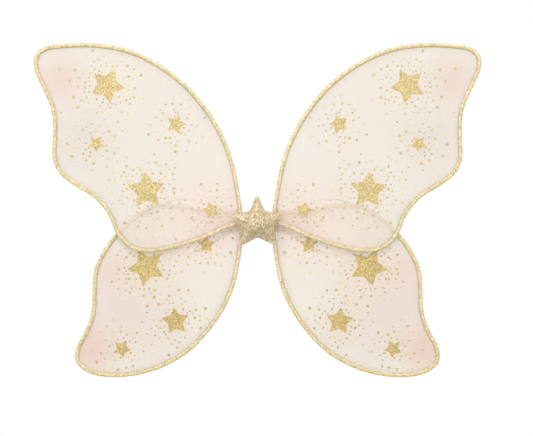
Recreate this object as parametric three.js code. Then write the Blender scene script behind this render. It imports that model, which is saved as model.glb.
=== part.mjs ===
// Fairy wings for a child: four wire-framed fabric wings on a padded star.
//
// Millimetres, +Z up. The wearer stands on the +Y side and the star faces -Y, so
// that somebody looking along +Y sees the star, with the left wings at -X. The
// origin is the middle of the back patch's rear face, the face that rests between
// the wearer's shoulder blades.
//
// Each wing is a spring-steel wire bent into a loop, its two ends joined in a crimp
// ferrule on the upright root stretch. A fabric panel is stretched across the loop
// and a folded glitter tape binds its edge over the wire. A ribbon band wraps the
// upright roots of both upper wings, and a second one those of both lower wings, so
// each wing swings about its own root wire.
import * as THREE from "three";

// ---- Driving dimensions --------------------------------------------------------

const GAP = 0.3; // between pieces that touch

const WIRE_R = 0.8;
const WIRE_END_GAP = 0.4; // between the two butted ends inside the ferrule
const FERRULE_WALL = 0.4;
const FERRULE_BORE_CLEARANCE = 0.25;
const FERRULE_INSET = 0.5; // of each end from the ribbon band's edge

const FABRIC_THICKNESS = 0.6;
const FABRIC_EDGE_GAP = 0.4; // from the wire's surface to the fabric's edge
const BINDING_WIDTH = 5.0; // in the plane of the wing
const BINDING_DEPTH = 4.0; // through the wing

const ROOT_X = 19; // of every upright root wire, from the middle
const ROOT_BOTTOM_Z = 3.0;
const ROOT_HEIGHT = 6.8; // of the straight upright stretch
const ROOT_LEAD = 0.6; // straight wire between the upright stretch and the tape
const CORNER_LEAD = 2; // straight wire between a bend and the tape
const BOTTOM_EDGE_SLOPE = THREE.MathUtils.degToRad(22); // of an upper wing, at its root

const BAND_WALL = 0.75; // ribbon round the ferrule
const BAND_WEB = 1.6; // the two layers between the roots

const PATCH = { width: 28, height: 24, thickness: 3.0, corner: 4, centreZ: -1 };
const PAD = { width: 26, height: 15, corner: 3, centreZ: 3 };

const WING_CLEARANCE = 1.6; // between the tapes of an upper and a lower wing

const STAR_RADIUS = 30.6; // centre to tip
// Inner radius over outer radius of each notch, anticlockwise from the top tip. The
// two side notches are shallower, so the star is broad below its arms.
const STAR_NOTCH_SHARES = [0.475, 0.61, 0.515, 0.61, 0.475];
const STAR_TILT = THREE.MathUtils.degToRad(1);
const STAR_TIP_ROUNDING = 2.2;
const STAR_FRONT_BULGE = 9.5;
const STAR_BACK_BULGE = 8.2;
const STAR_CLOTH_SHARE = 0.94; // of the outer size, the inside of the cloth
const STAR_FILLING_SHARE = 0.915; // of the outer size, the filling
const STAR_FULLNESS = 0.6; // power of the dome's profile; lower is fuller

const STRAP = {
  width: 8,
  thickness: 1.2,
  endZ: 6, // of the two sewn ends, above and below the middle
  twistLength: 34, // over which a sewn end turns a quarter turn
  restAngle: THREE.MathUtils.degToRad(28), // behind the plane of the wings
  hingeGap: 1.2, // from the patch's edge to the line that it swings about
};

// Each wing's reach runs outwards from its root wire and its rise up from z = 0, both
// to the wire's centre line. Its outline is in hundredths of the two, and runs
// outwards along the bottom edge, round the tip and back to the root.
const UPPER_WING = {
  reach: 229,
  rise: 198,
  outline: [
    [7.5, -2.6], [18, -8], [30, -12.6], [42, -15.6], [49.5, -15.2], [55.5, -11.8],
    [60, -5], [62.6, 2.5], [66.3, 9.4], [72.4, 16.2], [80.6, 22], [87.2, 28],
    [90.5, 36], [90.4, 50], [91.2, 63.5], [95.5, 76], [99.6, 87], [99.2, 94],
    [95, 98], [86, 99.6], [72, 100], [56, 97], [42.2, 90], [28.5, 78.6],
    [16.3, 62.4], [7.7, 44.5], [3.4, 29], [1.3, 15.7],
  ],
};
const LOWER_WING = {
  reach: 183,
  rise: 171,
  outline: [
    [0.2, -13], [1.6, -25], [4.8, -40.6], [11.2, -56.4], [21.6, -72.3], [33.6, -84.8],
    [47.6, -93.4], [63, -98.6], [79, -100], [92, -97.6], [99.5, -91], [99.4, -82.5],
    [93.8, -70.8], [90.2, -59.5], [89.4, -46], [88.2, -31], [81.4, -15.8],
    [72.8, -5], [63.6, 4.2], [52, 10.8], [38, 11], [22, 8.2], [9, 6.9],
  ],
};

// ---- Sizes that follow ---------------------------------------------------------

const FERRULE_BORE_R = WIRE_R + FERRULE_BORE_CLEARANCE;
const FERRULE_R = FERRULE_BORE_R + FERRULE_WALL;
const BAND_BORE_R = FERRULE_R + GAP;
const BAND_LOOP_R = BAND_BORE_R + BAND_WALL;
const BAND_HEIGHT = ROOT_HEIGHT - 2 * GAP;
const BAND_MIDDLE_Z = ROOT_BOTTOM_Z + ROOT_HEIGHT / 2;
const ROOT_TOP_Z = ROOT_BOTTOM_Z + ROOT_HEIGHT;
const FERRULE_LENGTH = BAND_HEIGHT - 2 * FERRULE_INSET;
const BEND_R = BINDING_WIDTH / 2; // of the wire where it turns out of its root
const BINDING_CAVITY_R = WIRE_R + GAP;
const BINDING_SLIT = FABRIC_THICKNESS + 2 * GAP;
const FABRIC_INSET = WIRE_R + FABRIC_EDGE_GAP; // from the wire's centre line

// The wings' planes are far enough apart for both their tapes and their bands.
const WING_SPACING = Math.max(BINDING_DEPTH + WING_CLEARANCE, 2 * (BAND_LOOP_R + GAP));
const LOWER_WING_Y = -PATCH.thickness - GAP - BAND_WEB / 2;
const UPPER_WING_Y = LOWER_WING_Y - WING_SPACING;
const PAD_THICKNESS = WING_SPACING - BAND_WEB - 2 * GAP;
const STRAP_Y = LOWER_WING_Y + BAND_LOOP_R + GAP + STRAP.thickness / 2;

// The star's back clears the upper band's web in the middle and its folds at the
// sides, where the star is thinner.
const domeShare = (share) => (1 - share * share) ** STAR_FULLNESS;
const FOLD_SHARE = Math.hypot(ROOT_X, BAND_MIDDLE_Z) / STAR_RADIUS;
const STAR_SEAM_Y = UPPER_WING_Y - GAP - Math.max(
  BAND_WEB / 2 + STAR_BACK_BULGE,
  BAND_LOOP_R + STAR_BACK_BULGE * domeShare(FOLD_SHARE));

// ---- How finely curves are cut into straight steps -----------------------------

const LOOSEST_CHORD = 0.3; // how far a straight step may cut a curve's corner
const LONGEST_STEP = 24;
const LARGEST_SHARE = 0.3; // of a whole curve, in one step
const SECTION_ARC_STEPS = 5; // of each arc in a section that is swept
const PLATE_ARC_STEPS = 6; // of each arc in a flat plate's outline
const WIRE_SIDES = 6;
const STRAP_STEPS = 44;
const STAR_SIDE_SHARES = [0.33, 0.66]; // points along a side, from tip to notch
const DOME_RING_SHARES = [0.3, 0.55, 0.75, 0.9, 1]; // of the way out to the edge
const NO_TURN = 1e-6; // square millimetres: the corner of two steps in one line

// ---- Materials -----------------------------------------------------------------

const finish = (color, roughness, metalness = 0) =>
  new THREE.MeshStandardMaterial({ color, roughness, metalness });

const MATERIALS = {
  wire: finish(0xb9b9bd, 0.35, 1),
  ferrule: finish(0x9fa0a4, 0.4, 1),
  fabric: finish(0xf5ebe2, 0.8),
  binding: finish(0xe0cd96, 0.45, 0.4),
  ribbon: finish(0xf1dfd2, 0.7),
  felt: finish(0xf0e2d3, 0.95),
  glitter: finish(0xdbcaa8, 0.5, 0.4),
  filling: finish(0xfafafa, 1),
  elastic: finish(0xf3eadb, 0.8),
};

// ---- Curves --------------------------------------------------------------------

// Points along one curve, closer together where it bends.
function samplesOf(curve, from = 0, to = 1) {
  const start = curve.getPoint(from);
  const end = curve.getPoint(to);
  const middle = curve.getPoint((from + to) / 2);
  const chord = end.clone().sub(start);
  const sag = middle.clone().sub(start.clone().add(end).multiplyScalar(0.5)).length();
  const isShort = to - from < LARGEST_SHARE && chord.length() < LONGEST_STEP;
  if (curve.isLineCurve || (isShort && sag < LOOSEST_CHORD)) return [start];
  const half = (from + to) / 2;
  return [...samplesOf(curve, from, half), ...samplesOf(curve, half, to)];
}

// Points along curves that follow each other, in the plane of the first two axes.
function polylineOf(curves) {
  const points = curves.flatMap((curve) => samplesOf(curve));
  points.push(curves.at(-1).getPoint(1));
  return points.map((p) => new THREE.Vector2(p.x, p.y));
}

const smoothThrough = (points) =>
  new THREE.CatmullRomCurve3(
    points.map(([x, z]) => new THREE.Vector3(x, z, 0)), false, "centripetal");

const straight = (from, to) =>
  new THREE.LineCurve(new THREE.Vector2(...from), new THREE.Vector2(...to));

function directionAt(points, i) {
  const before = points[Math.max(i - 1, 0)];
  const after = points[Math.min(i + 1, points.length - 1)];
  const here = points[i];
  const arriving = here.clone().sub(i > 0 ? before : here).normalize();
  const leaving = after.clone().sub(here).normalize();
  return arriving.add(leaving).normalize();
}

// A polyline in the XZ plane for a section to follow. The section's x faces the
// front (-Y) and its y the outside of a loop that runs anticlockwise as seen from
// the front; twist(i) turns the section about the line.
class SweepLine extends THREE.Curve {
  constructor(points, twist = () => 0) {
    super();
    this.points = points;
    this.twist = twist;
  }

  getUtoTmapping(u) {
    return u;
  }

  getPoint(t) {
    const { x, y } = this.points[Math.round(t * (this.points.length - 1))];
    return new THREE.Vector3(x, 0, y);
  }

  getTangent(t) {
    const { x, y } = directionAt(this.points, Math.round(t * (this.points.length - 1)));
    return new THREE.Vector3(x, 0, y);
  }

  computeFrenetFrames(steps) {
    const tangents = [];
    const normals = [];
    const binormals = [];
    for (let i = 0; i <= steps; i++) {
      const tangent = this.getTangent(i / steps);
      const normal = new THREE.Vector3(0, -1, 0).applyAxisAngle(tangent, this.twist(i));
      tangents.push(tangent);
      normals.push(normal);
      binormals.push(new THREE.Vector3().crossVectors(tangent, normal));
    }
    return { tangents, normals, binormals };
  }
}

// ---- Shared solids -------------------------------------------------------------

function sweep(section, points, twist) {
  const steps = points.length - 1;
  const extrudePath = new SweepLine(points, twist);
  const curveSegments = SECTION_ARC_STEPS;
  return new THREE.ExtrudeGeometry(section, { steps, extrudePath, curveSegments });
}

const plate = (shape, depth) =>
  new THREE.ExtrudeGeometry(
    shape, { depth, bevelEnabled: false, curveSegments: PLATE_ARC_STEPS });

// A plate drawn in X and Z whose rear face stands at rearY.
function uprightMesh(name, shape, thickness, rearY, material) {
  const mesh = new THREE.Mesh(plate(shape, thickness), material);
  mesh.name = name;
  mesh.rotation.x = Math.PI / 2;
  mesh.position.y = rearY;
  return mesh;
}

function roundedRectangle({ width, height, corner, centreZ }) {
  const right = width / 2 - corner;
  const top = centreZ + height / 2 - corner;
  const bottom = centreZ - height / 2 + corner;
  const shape = new THREE.Shape();
  shape.absarc(right, bottom, corner, -Math.PI / 2, 0);
  shape.absarc(right, top, corner, 0, Math.PI / 2);
  shape.absarc(-right, top, corner, Math.PI / 2, Math.PI);
  shape.absarc(-right, bottom, corner, Math.PI, Math.PI * 1.5);
  return shape;
}

function ring(outerR, innerR) {
  const shape = new THREE.Shape().absarc(0, 0, outerR, 0, 2 * Math.PI);
  shape.holes.push(new THREE.Path().absarc(0, 0, innerR, 0, 2 * Math.PI));
  return shape;
}

// A closed skin from one pole through rings of equally many points to another pole.
function skin(firstPole, rings, lastPole) {
  const count = rings[0].length;
  const points = [firstPole, ...rings.flat(), lastPole];
  const last = points.length - 1;
  const at = (ringIndex, i) => 1 + ringIndex * count + (i % count);
  const faces = [];
  for (let i = 0; i < count; i++) {
    faces.push(0, at(0, i), at(0, i + 1));
    faces.push(last, at(rings.length - 1, i + 1), at(rings.length - 1, i));
    for (let r = 0; r + 1 < rings.length; r++) {
      faces.push(at(r, i), at(r + 1, i), at(r + 1, i + 1));
      faces.push(at(r, i), at(r + 1, i + 1), at(r, i + 1));
    }
  }
  const geometry = new THREE.BufferGeometry().setFromPoints(points);
  geometry.setIndex(faces);
  geometry.computeVertexNormals();
  return geometry;
}

// ---- Wings ---------------------------------------------------------------------

const outlineOf = ({ reach, rise, outline }) =>
  outline.map(([across, up]) => [ROOT_X + (across * reach) / 100, (up * rise) / 100]);

// The wire's centre line in three stretches: the first of the root, the bound
// outline, and the last of the root, all anticlockwise as seen from the front.
function upperWingStretches() {
  const bendX = ROOT_X + BEND_R;
  const turned = 1.5 * Math.PI - BOTTOM_EDGE_SLOPE;
  const bend = new THREE.EllipseCurve(bendX, ROOT_BOTTOM_Z, BEND_R, BEND_R, Math.PI, turned);
  const out = bend.getPoint(1);
  const lead = [
    out.x + CORNER_LEAD * Math.cos(BOTTOM_EDGE_SLOPE),
    out.y - CORNER_LEAD * Math.sin(BOTTOM_EDGE_SLOPE),
  ];
  const top = [ROOT_X, ROOT_TOP_Z + ROOT_LEAD];
  return [
    [
      straight([ROOT_X, BAND_MIDDLE_Z - WIRE_END_GAP / 2], [ROOT_X, ROOT_BOTTOM_Z]),
      bend,
      straight([out.x, out.y], lead),
    ],
    [smoothThrough([lead, ...outlineOf(UPPER_WING), top])],
    [straight(top, [ROOT_X, BAND_MIDDLE_Z + WIRE_END_GAP / 2])],
  ];
}

function lowerWingStretches() {
  const bendX = ROOT_X + BEND_R;
  const bend = new THREE.EllipseCurve(
    bendX, ROOT_TOP_Z, BEND_R, BEND_R, Math.PI / 2, Math.PI);
  const lead = [bendX + CORNER_LEAD, ROOT_TOP_Z + BEND_R];
  const bottom = [ROOT_X, ROOT_BOTTOM_Z - ROOT_LEAD];
  return [
    [straight([ROOT_X, BAND_MIDDLE_Z - WIRE_END_GAP / 2], bottom)],
    [smoothThrough([bottom, ...outlineOf(LOWER_WING), lead])],
    [
      straight(lead, [bendX, ROOT_TOP_Z + BEND_R]),
      bend,
      straight([ROOT_X, ROOT_TOP_Z], [ROOT_X, BAND_MIDDLE_Z + WIRE_END_GAP / 2]),
    ],
  ];
}

// The folded tape's section: x runs through the wing and y outwards in its plane. It
// is round outside and closed round the wire, with a slit for the fabric's edge.
function bindingSection() {
  const halfSlit = BINDING_SLIT / 2;
  const halfDepth = BINDING_DEPTH / 2;
  const halfWidth = BINDING_WIDTH / 2;
  const outerLip = Math.asin(halfSlit / halfDepth);
  const innerLip = Math.asin(halfSlit / BINDING_CAVITY_R);
  const down = -Math.PI / 2;
  const shape = new THREE.Shape();
  shape.absellipse(0, 0, halfDepth, halfWidth, down + outerLip, down - outerLip + 2 * Math.PI);
  const cavity = new THREE.EllipseCurve(
    0, 0, BINDING_CAVITY_R, BINDING_CAVITY_R,
    down - innerLip + 2 * Math.PI, down + innerLip, true);
  for (const { x, y } of cavity.getPoints(SECTION_ARC_STEPS)) shape.lineTo(x, y);
  shape.closePath();
  return shape;
}

function wireSection() {
  const points = [];
  for (let i = 0; i < WIRE_SIDES; i++) {
    const turn = (i * 2 * Math.PI) / WIRE_SIDES;
    points.push(new THREE.Vector2(WIRE_R * Math.cos(turn), WIRE_R * Math.sin(turn)));
  }
  return new THREE.Shape(points);
}

// The fabric's edge lies inside the wire's loop and stops short of the ribbon band.
function fabricShape(loop) {
  const nearestX = ROOT_X + BAND_LOOP_R + 2 * GAP;
  const edge = loop.map((point, i) => {
    const direction = directionAt(loop, i);
    const x = point.x - direction.y * FABRIC_INSET;
    const y = point.y + direction.x * FABRIC_INSET;
    return new THREE.Vector2(Math.max(x, nearestX), y);
  });
  const turns = (a, b, c) => Math.abs(b.clone().sub(a).cross(c.clone().sub(b))) > NO_TURN;
  const isNeeded = (p, i) => turns(edge.at(i - 1), p, edge[(i + 1) % edge.length]);
  return new THREE.Shape(edge.filter(isNeeded));
}

function wing(place, side, stretches, planeY) {
  const [start, outline, end] = stretches;
  const loop = polylineOf([...start, ...outline, ...end]);
  const bound = polylineOf(outline);
  const group = new THREE.Group();
  group.position.y = planeY;

  const wire = new THREE.Mesh(sweep(wireSection(), loop), MATERIALS.wire);
  wire.name = `wire_${place}_${side}`;

  const barrel = plate(ring(FERRULE_R, FERRULE_BORE_R), FERRULE_LENGTH);
  const ferrule = new THREE.Mesh(barrel, MATERIALS.ferrule);
  ferrule.name = `ferrule_${place}_${side}`;
  ferrule.position.set(ROOT_X, 0, BAND_MIDDLE_Z - FERRULE_LENGTH / 2);

  const tape = new THREE.Mesh(sweep(bindingSection(), bound), MATERIALS.binding);
  tape.name = `binding_${place}_${side}`;

  const fabric = uprightMesh(
    `membrane_${place}_${side}`, fabricShape(loop),
    FABRIC_THICKNESS, FABRIC_THICKNESS / 2, MATERIALS.fabric);

  group.add(wire, ferrule, tape, fabric);
  return group;
}

// ---- Arm straps ----------------------------------------------------------------

// The elastic loop in its own plane: distance from the line it swings about, and
// height. It runs from the upper sewn end round to the lower one.
const STRAP_LOOP = [
  [0, STRAP.endZ], [15, 7.5], [42, 18], [78, 27], [108, 19],
  [122, -6], [108, -31], [78, -37], [42, -23], [15, -9], [0, -STRAP.endZ],
];

function strap(side) {
  const { width, thickness, twistLength, restAngle, hingeGap } = STRAP;
  const section = new THREE.Shape([
    new THREE.Vector2(-width / 2, -thickness / 2),
    new THREE.Vector2(width / 2, -thickness / 2),
    new THREE.Vector2(width / 2, thickness / 2),
    new THREE.Vector2(-width / 2, thickness / 2),
  ]);
  const line = smoothThrough(STRAP_LOOP);
  const points = line.getSpacedPoints(STRAP_STEPS).map((p) => new THREE.Vector2(p.x, p.y));
  const length = line.getLength();
  const quarterTurn = (i) => {
    const fromEnd = (Math.min(i, STRAP_STEPS - i) / STRAP_STEPS) * length;
    const share = THREE.MathUtils.smoothstep(fromEnd, 0, twistLength);
    return ((1 - share) * Math.PI) / 2;
  };
  const mesh = new THREE.Mesh(sweep(section, points, quarterTurn), MATERIALS.elastic);
  mesh.name = `strap_${side}`;
  mesh.position.set(PATCH.width / 2 + hingeGap, STRAP_Y, 0);
  mesh.rotation.z = restAngle;
  return mesh;
}

// ---- Hub -----------------------------------------------------------------------

// A ribbon folded round two upright roots, seen from above.
function rootBand(name, planeY) {
  const leave = Math.asin(BAND_WEB / 2 / BAND_LOOP_R);
  const shape = new THREE.Shape();
  shape.absarc(ROOT_X, 0, BAND_LOOP_R, leave - Math.PI, Math.PI - leave);
  shape.absarc(-ROOT_X, 0, BAND_LOOP_R, leave, 2 * Math.PI - leave);
  for (const x of [-ROOT_X, ROOT_X])
    shape.holes.push(new THREE.Path().absarc(x, 0, BAND_BORE_R, 0, 2 * Math.PI));
  const band = new THREE.Mesh(plate(shape, BAND_HEIGHT), MATERIALS.ribbon);
  band.name = name;
  band.position.set(0, planeY, BAND_MIDDLE_Z - BAND_HEIGHT / 2);
  return band;
}

// The star's edge, anticlockwise as seen from the front, with its tips blunted.
function starOutline() {
  const points = STAR_NOTCH_SHARES.length;
  const at = (turns, share) => {
    const angle = Math.PI / 2 + STAR_TILT + (turns * 2 * Math.PI) / points;
    const r = STAR_RADIUS * share;
    return new THREE.Vector2(r * Math.cos(angle), r * Math.sin(angle));
  };
  const outline = [];
  for (let k = 0; k < points; k++) {
    const tip = at(k, 1);
    const notchBefore = at(k - 0.5, STAR_NOTCH_SHARES.at(k - 1));
    const notch = at(k + 0.5, STAR_NOTCH_SHARES[k]);
    const blunt = STAR_TIP_ROUNDING / tip.distanceTo(notch);
    const shares = [blunt, ...STAR_SIDE_SHARES];
    const before = shares.map((share) => tip.clone().lerp(notchBefore, share));
    const after = shares.map((share) => tip.clone().lerp(notch, share));
    const inner = tip.clone().multiplyScalar(1 - STAR_TIP_ROUNDING / 3 / STAR_RADIUS);
    outline.push(...before.toReversed(), inner, ...after, notch);
  }
  return outline;
}

// Rings of a dome over the star's edge, from near the middle outwards.
function domeRings(outline, share, bulge, seamY) {
  const rings = DOME_RING_SHARES.map((s) => {
    const height = bulge * share * domeShare(s);
    return outline.map(
      (p) => new THREE.Vector3(p.x * s * share, seamY + height, p.y * s * share));
  });
  return { pole: new THREE.Vector3(0, seamY + bulge * share, 0), rings };
}

function starCloth(name, outline, bulge, seamY) {
  const outer = domeRings(outline, 1, bulge, seamY);
  const inner = domeRings(outline, STAR_CLOTH_SHARE, bulge, seamY);
  const rings = [...outer.rings, ...inner.rings.toReversed()];
  const mesh = new THREE.Mesh(skin(outer.pole, rings, inner.pole), MATERIALS.glitter);
  mesh.name = name;
  return mesh;
}

function starFilling(outline) {
  const front = domeRings(outline, STAR_FILLING_SHARE, -STAR_FRONT_BULGE, STAR_SEAM_Y);
  const back = domeRings(outline, STAR_FILLING_SHARE, STAR_BACK_BULGE, STAR_SEAM_Y);
  const rings = [...front.rings, ...back.rings.slice(0, -1).toReversed()];
  const mesh = new THREE.Mesh(skin(front.pole, rings, back.pole), MATERIALS.filling);
  mesh.name = "star_stuffing";
  return mesh;
}

// ---- Assembly ------------------------------------------------------------------

function hub() {
  const group = new THREE.Group();
  const outline = starOutline();
  group.add(
    uprightMesh("back_patch", roundedRectangle(PATCH), PATCH.thickness, 0, MATERIALS.felt),
    rootBand("root_band_lower", LOWER_WING_Y),
    uprightMesh("hub_pad", roundedRectangle(PAD), PAD_THICKNESS,
      LOWER_WING_Y - BAND_WEB / 2 - GAP, MATERIALS.felt),
    rootBand("root_band_upper", UPPER_WING_Y),
    starCloth("star_back", outline.toReversed(), STAR_BACK_BULGE, STAR_SEAM_Y + GAP / 2),
    starFilling(outline),
    starCloth("star_front", outline, -STAR_FRONT_BULGE, STAR_SEAM_Y - GAP / 2));
  return group;
}

function side(name, mirrored) {
  const group = new THREE.Group();
  group.scale.x = mirrored ? -1 : 1;
  group.add(
    wing("upper", name, upperWingStretches(), UPPER_WING_Y),
    wing("lower", name, lowerWingStretches(), LOWER_WING_Y),
    strap(name));
  return group;
}

const wings = new THREE.Group();
wings.add(hub(), side("left", true), side("right", false));

export default wings;
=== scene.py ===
"""Looks of the fairy wings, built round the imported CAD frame.

Sizes are in millimetres until a piece is made, when they become metres. The frame is
the CAD's: +Z up, the star faces -Y and the wearer stands on the +Y side.
"""

import math

import bmesh
import bpy
import numpy as np
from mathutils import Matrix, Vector
from mathutils.geometry import delaunay_2d_cdt


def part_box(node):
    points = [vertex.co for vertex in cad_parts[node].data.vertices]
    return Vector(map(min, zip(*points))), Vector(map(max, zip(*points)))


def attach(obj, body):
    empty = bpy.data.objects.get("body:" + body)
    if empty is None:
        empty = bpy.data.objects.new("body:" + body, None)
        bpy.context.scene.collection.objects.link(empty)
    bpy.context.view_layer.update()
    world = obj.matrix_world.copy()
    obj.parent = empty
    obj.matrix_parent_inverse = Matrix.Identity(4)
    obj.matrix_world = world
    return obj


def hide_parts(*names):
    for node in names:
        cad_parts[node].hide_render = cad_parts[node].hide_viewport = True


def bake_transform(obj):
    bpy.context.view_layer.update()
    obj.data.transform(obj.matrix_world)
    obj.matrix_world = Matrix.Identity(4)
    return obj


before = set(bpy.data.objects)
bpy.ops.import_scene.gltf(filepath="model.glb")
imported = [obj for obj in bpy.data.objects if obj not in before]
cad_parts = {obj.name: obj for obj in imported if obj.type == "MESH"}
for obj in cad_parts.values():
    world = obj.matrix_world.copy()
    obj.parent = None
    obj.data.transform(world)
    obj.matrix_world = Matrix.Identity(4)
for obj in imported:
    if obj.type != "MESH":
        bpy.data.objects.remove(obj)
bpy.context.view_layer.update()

MM = 0.001
SEED = 7

# ---- Driving dimensions, in millimetres ------------------------------------------

WIRE_R = 0.8
FABRIC_THICKNESS = 0.3
FABRIC_EDGE_INSET = 1.15  # of the fabric's edge from the wire's centre line
FABRIC_NEAREST_X = 21.9  # the fabric stops short of the ribbon band
FABRIC_STEP = 3.2  # between the points of its mesh
RIPPLE = 0.22  # height of the slow ripples in the stretched fabric
PUCKER = 0.16  # height of the puckers along its sewn edge
PUCKER_PITCH = 11.0
PUCKER_REACH = 7.0

TAPE_HALF_DEPTH = 2.0  # through the wing
TAPE_HALF_WIDTH = 2.5  # in the plane of the wing
TAPE_SLIT = 1.2
TAPE_CAVITY_R = 1.1
TAPE_STEP = 1.05
TAPE_RELIEF = 0.13  # of the glitter's uneven coat
TAPE_RELIEF_PITCH = 4.2
STITCH_LENGTH = 2.1
STITCH_PITCH = 3.3
STITCH_R = 0.19
STITCH_LINE = 1.5  # from the wire's centre line towards the fabric

ROOT_X = 19.0
BAND_BOTTOM_Z = 3.3
BAND_TOP_Z = 9.5
BAND_MIDDLE_Z = (BAND_BOTTOM_Z + BAND_TOP_Z) / 2
BAND_LOOP_R = 2.5
RIBBON_THICKNESS = 0.72
WEB_THICKNESS = 1.6

PRINT_HEIGHT = 0.14  # of the glitter print over the fabric
PRINT_NOTCH_SHARE = 0.53
PRINT_SPREAD = 1.08  # the softened corners take back this much of a star's radius

STAR_RADIUS = 30.6
STAR_NOTCH_SHARES = (0.475, 0.61, 0.515, 0.61, 0.475)  # anticlockwise from the top
STAR_TILT = math.radians(1)
STAR_FRONT_BULGE = 9.3
STAR_BACK_BULGE = 7.9
STAR_STEP = 1.7
STAR_CLOTH_THICKNESS = 0.55
FLAKE_THICKNESS = 0.08

STRAP_WIDTH = 8.0
STRAP_THICKNESS = 1.15
STRAP_TWIST_LENGTH = 34.0
STRAP_REST_ANGLE = math.radians(28)
STRAP_HINGE = (15.2, -0.7)
STRAP_RIBS = 9
STRAP_SEWN = 4.0  # of each end, under the patch
# Radius from the hinge line and height, from the upper sewn end to the lower one.
STRAP_LOOP = [
    (-4, 6), (0, 6), (15, 7.5), (42, 18), (78, 27), (108, 19), (122, -6),
    (108, -31), (78, -37), (42, -23), (15, -9), (0, -6), (-4, -6),
]

# The printed stars on a right-hand wing: x, z, radius and the direction of one tip.
UPPER_PRINTS = [
    (168, 153, 19, 116), (91, 110, 10.5, 108), (180, 88, 9, 270),
    (124, 36, 20, 86), (52, 14, 9.2, 76),
]
LOWER_PRINTS = [
    (57.5, -25, 9.7, 90), (124.5, -50, 20.5, 281), (92, -110.5, 15, 84),
    (152, -141.5, 10, 46),
]
# The dots round a printed star: how far out they start and end beyond its radius,
# their spacing, and their smallest and largest radius.
HALO_BANDS = [(-4, 7, 4.3, 1.0, 1.5), (5, 15, 5.3, 0.95, 1.8), (13, 24, 8.0, 0.85, 2.0)]
PALE_DOT_SHARE = 0.3
SPARSE_DOT_SPACING = 20.0
SPARSE_DOT_R = (0.6, 1.5)


# ---- Meshes ----------------------------------------------------------------------


def add_object(name, mesh, body=None):
    piece = bpy.data.objects.new(name, mesh)
    bpy.context.scene.collection.objects.link(piece)
    if body:
        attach(piece, body)
    return piece


def make_mesh(name, vertices, faces, material, smooth=True):
    """A mesh from millimetres, its normals facing out."""
    mesh = bpy.data.meshes.new(name)
    mesh.from_pydata((np.asarray(vertices) * MM).tolist(), [], faces)
    work = bmesh.new()
    work.from_mesh(mesh)
    bmesh.ops.recalc_face_normals(work, faces=work.faces)
    work.to_mesh(mesh)
    work.free()
    mesh.materials.append(material)
    mesh.polygons.foreach_set("use_smooth", [smooth] * len(mesh.polygons))
    return mesh


def add_piece(name, vertices, faces, material, body=None, smooth=True):
    return add_object(name, make_mesh(name, vertices, faces, MATERIALS[material], smooth), body)


def box_of(node):
    """The lowest and the highest corner of a CAD node."""
    return [np.array(corner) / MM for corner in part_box(node)]


def mirrored(vertices, side):
    flip = -1 if side == "left" else 1
    return np.asarray(vertices, float) * [flip, 1, 1]


def upright(flat, y):
    """Points given as x and z, set at a depth."""
    return np.stack([flat[:, 0], np.broadcast_to(y, len(flat)), flat[:, 1]], axis=1)


def loft(rings, closed=False):
    """(vertices, faces) of a skin over rings of equally many points. Its ends are
    capped, or joined to each other if it is closed."""
    rings = np.asarray(rings, float)
    count, size = rings.shape[:2]
    faces = []
    for i in range(count if closed else count - 1):
        here, there = i * size, (i + 1) % count * size
        for j in range(size):
            k = (j + 1) % size
            faces.append((here + j, here + k, there + k, there + j))
    if not closed:
        faces.append(tuple(range(size)))
        faces.append(tuple((count - 1) * size + j for j in reversed(range(size))))
    return rings.reshape(-1, 3), faces


def joined(parts):
    """Several (vertices, faces) as one."""
    all_vertices, all_faces, offset = [], [], 0
    for vertices, faces in parts:
        all_vertices.append(np.asarray(vertices, float))
        all_faces.extend(tuple(offset + i for i in face) for face in faces)
        offset += len(vertices)
    return np.concatenate(all_vertices), all_faces


def set_lengths(mesh, lengths, girths):
    """Writes where each vertex lies along and round a swept piece, in metres."""
    for name, values in (("along", lengths), ("around", girths)):
        attribute = mesh.attributes.new(name, "FLOAT", "POINT")
        attribute.data.foreach_set("value", np.asarray(values, np.float32).ravel() * MM)


# ---- Lines -----------------------------------------------------------------------


def smooth_line(points, spacing, closed=False):
    """Evenly spaced points on a smooth curve through the given ones."""
    points = np.asarray(points, float)
    if closed:
        points = np.concatenate([points[-3:], points, points[:4]])
    chords = np.linalg.norm(np.diff(points, axis=0), axis=1)
    at = np.concatenate([[0], np.cumsum(chords)])
    tangents = np.gradient(points, at, axis=0)
    first, last = (at[3], at[-4]) if closed else (0, at[-1])
    fine = np.linspace(first, last, int((last - first) / 0.2) + 2)
    i = np.clip(np.searchsorted(at, fine, side="right") - 1, 0, len(at) - 2)
    step = (at[i + 1] - at[i])[:, None]
    t = (fine - at[i])[:, None] / step
    curve = (
        (2 * t**3 - 3 * t**2 + 1) * points[i]
        + (t**3 - 2 * t**2 + t) * step * tangents[i]
        + (3 * t**2 - 2 * t**3) * points[i + 1]
        + (t**3 - t**2) * step * tangents[i + 1]
    )
    walked = np.concatenate([[0], np.cumsum(np.linalg.norm(np.diff(curve, axis=0), axis=1))])
    wanted = np.linspace(0, walked[-1], max(int(round(walked[-1] / spacing)), 2) + 1)
    even = np.stack([np.interp(wanted, walked, axis) for axis in curve.T], axis=1)
    return even[:-1] if closed else even


def lengths_along(line):
    return np.concatenate([[0], np.cumsum(np.linalg.norm(np.diff(line, axis=0), axis=1))])


def directions(line):
    tangents = np.gradient(line, axis=0)
    return tangents / np.linalg.norm(tangents, axis=1)[:, None]


def outward_of(line):
    """Directions across a line in the wing's plane, out of the loop."""
    tangents = directions(line)
    return np.stack([tangents[:, 1], -tangents[:, 0]], axis=1)


def gaps_between(points, line):
    """How far each point lies from each point of a line."""
    return np.linalg.norm(points[:, None, :] - line[None, :, :], axis=2)


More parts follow.
